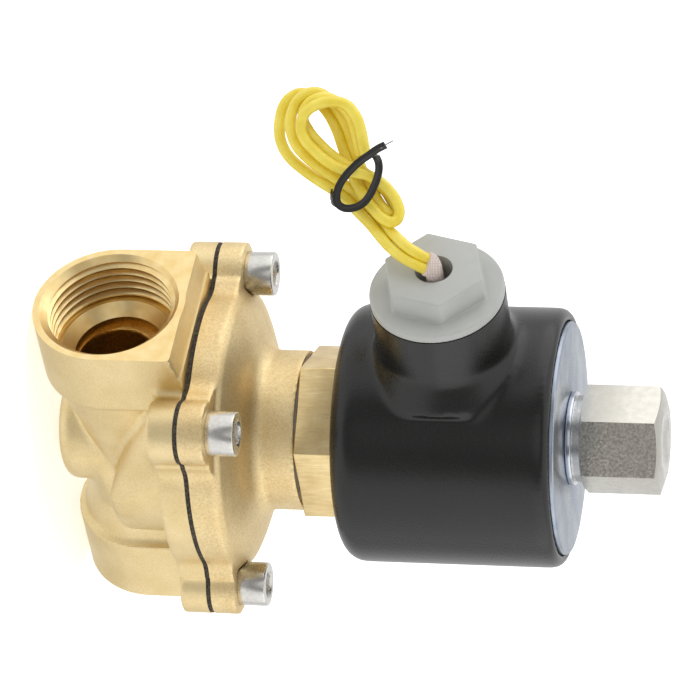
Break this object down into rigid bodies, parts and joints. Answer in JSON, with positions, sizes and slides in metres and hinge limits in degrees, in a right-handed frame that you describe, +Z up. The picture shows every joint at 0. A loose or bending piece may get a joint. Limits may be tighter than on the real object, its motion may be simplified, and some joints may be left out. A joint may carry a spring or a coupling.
{
  "type": "two-way solenoid valve",
  "caption": "Two-way solenoid valve: brass body with female pipe ports, bolted bonnet, turnable black coil with conduit boss, hex top nut and tied flying leads.",
  "frame": {"origin": "on the inlet port's axis, where its thread starts behind the mouth chamfer", "axes": "+X along the flow from inlet to outlet, +Z up the valve stem towards the coil, +Y to complete a right-handed frame"},
  "size_m": [0.1084, 0.0576, 0.1225],
  "materials": {
    "cast_brass": "fine blasted, satin",
    "turned_brass": "machined",
    "stainless": "turned",
    "nickel_screw": "bright nickel plate",
    "nickel_nut": "satin nickel plate",
    "zinc_plate": "bright zinc plate",
    "black_enamel": "satin black",
    "grey_nylon": "moulded, matte",
    "white_nylon": "moulded",
    "black_rubber": "matte",
    "grey_fibre": "gasket sheet",
    "copper_wire": "enamelled copper",
    "wrap_tape": "polyester tape",
    "glass_sleeve": "braided glass fibre",
    "yellow_pvc": "soft PVC",
    "black_pvc": "soft PVC over wire"
  },
  "bodies": {
    "valve": {"valve_body": "cast_brass", "diaphragm": "black_rubber", "bonnet": "cast_brass", "bonnet_screws": "nickel_screw", "base_gasket": "grey_fibre", "tube_base": "turned_brass", "armature_tube": "stainless", "fixed_pole": "stainless", "tube_stud": "stainless", "return_spring": "stainless", "top_washer": "zinc_plate", "top_nut": "nickel_nut"},
    "hub": {"pilot_hub": "turned_brass", "seat_disc": "black_rubber", "diaphragm_plate": "turned_brass", "lift_cage": "stainless", "hub_nut": "turned_brass"},
    "plunger": {"armature": "stainless", "push_rod": "stainless", "rod_collar": "stainless", "pilot_seal": "black_rubber"},
    "coil": {"coil_can": "black_enamel", "end_plate": "zinc_plate", "flux_washer": "zinc_plate", "bobbin": "white_nylon", "winding": "copper_wire", "coil_wrap": "wrap_tape", "conduit_plug": "grey_nylon", "lead_sleeve": "glass_sleeve", "lead_a": "yellow_pvc", "lead_b": "yellow_pvc", "lead_hank": "yellow_pvc", "twist_tie": "black_pvc"}
  },
  "joints": [
    {"name": "armature_slide", "type": "slide", "parent": "valve", "child": "plunger", "axis": [0, 0, 1], "range_m": [-0.005, 0], "stiffness_N_per_m": 400, "springref_m": 0.004, "deforming": ["return_spring"]},
    {"name": "hub_lift", "type": "slide", "parent": "valve", "child": "hub", "axis": [0, 0, 1], "range_m": [-0.004, 0], "deforming": ["diaphragm"]},
    {"name": "coil_turn", "type": "hinge", "parent": "valve", "child": "coil", "pos_m": [0.03415, 0, 0.066], "axis": [0, 0, 1], "continuous": true}
  ],
  "couplings": [
    {"joint": "hub_lift", "follows": "armature_slide", "ratio": 0.8}
  ]
}
